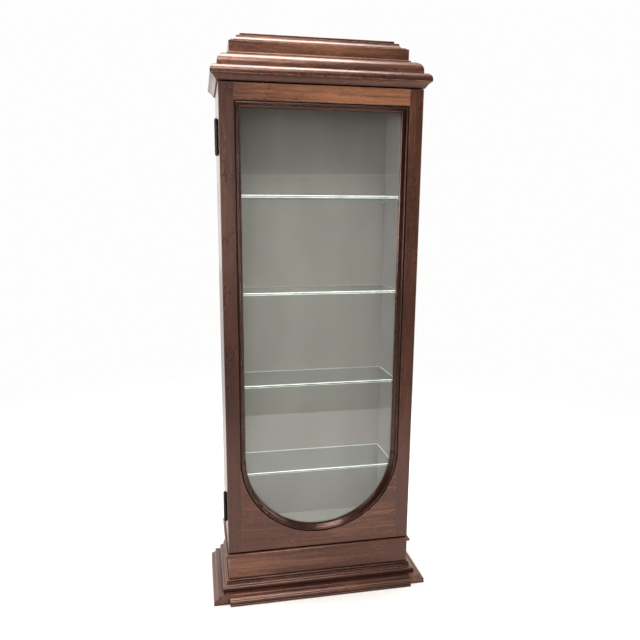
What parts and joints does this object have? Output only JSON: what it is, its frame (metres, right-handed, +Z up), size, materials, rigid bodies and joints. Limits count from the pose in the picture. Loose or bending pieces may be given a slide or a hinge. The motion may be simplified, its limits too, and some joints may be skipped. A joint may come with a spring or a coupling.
{
  "type": "wall mounted showcase",
  "caption": "Tall narrow wooden wall showcase with a hinged glazed door, glass shelves, grey lining, stepped cornice and moulded base.",
  "frame": {"origin": "middle of the footprint, on the plane that the base stands on", "axes": "+Z up, the door faces -Y, the wall side is +Y, the hinges are on the -X side"},
  "size_m": [0.375, 0.153, 0.9237],
  "materials": {
    "mahogany": "dark red-brown mahogany under gloss lacquer",
    "plain_wood": "plain unfinished softwood",
    "back_board": "thin plywood back, unfinished",
    "lining": "taupe grey felt on thin board",
    "shelf_glass": "clear float glass with polished green-white edges",
    "door_glass": "clear flat glass",
    "dark_hinge_metal": "blackened steel",
    "zinc_steel": "bright zinc plated",
    "magnet": "ferrite grey",
    "catch_plastic": "brown moulded plastic",
    "pin_nickel": "nickel plated",
    "bumper_rubber": "soft clear-grey rubber"
  },
  "bodies": {
    "case": {"side_panel_left": "mahogany", "side_panel_right": "mahogany", "back_panel": "back_board", "top_board": "mahogany", "cornice_board": "plain_wood", "bottom_board": "mahogany", "back_lining": "lining", "side_lining_left": "lining", "side_lining_right": "lining", "floor_lining": "lining", "plinth_front": "mahogany", "plinth_left": "mahogany", "plinth_right": "mahogany", "plinth_back": "mahogany", "base_board": "plain_wood", "base_upper_front": "mahogany", "base_upper_left": "mahogany", "base_upper_right": "mahogany", "base_lower_front": "mahogany", "base_lower_left": "mahogany", "base_lower_right": "mahogany", "crown_front": "mahogany", "crown_left": "mahogany", "crown_right": "mahogany", "frieze_front": "mahogany", "frieze_left": "mahogany", "frieze_right": "mahogany", "cap_moulding": "mahogany", "cap_board": "mahogany", "hanging_rail": "plain_wood", "hanger_plates": "zinc_steel", "back_screws": "zinc_steel", "glass_shelf_1": "shelf_glass", "glass_shelf_2": "shelf_glass", "glass_shelf_3": "shelf_glass", "glass_shelf_4": "shelf_glass", "shelf_pins": "pin_nickel", "upper_hinge_frame_leaf": "dark_hinge_metal", "lower_hinge_frame_leaf": "dark_hinge_metal", "hinge_pins": "dark_hinge_metal", "frame_leaf_screws": "dark_hinge_metal", "catch_housing": "catch_plastic", "catch_magnet": "magnet", "catch_screws": "zinc_steel"},
    "door": {"stile_left": "mahogany", "stile_right": "mahogany", "top_rail": "mahogany", "bottom_panel": "mahogany", "bead_left": "mahogany", "bead_right": "mahogany", "bead_top": "mahogany", "bead_arc": "mahogany", "door_glass": "door_glass", "retainer_strips": "mahogany", "upper_hinge_door_leaf": "dark_hinge_metal", "lower_hinge_door_leaf": "dark_hinge_metal", "door_leaf_screws": "dark_hinge_metal", "catch_plate": "zinc_steel", "door_bumpers": "bumper_rubber"}
  },
  "joints": [
    {"name": "door_hinge", "type": "hinge", "parent": "case", "child": "door", "pos_m": [-0.1632, -0.0285, 0.463], "axis": [0, 0, -1], "range_deg": [0, 175]}
  ]
}
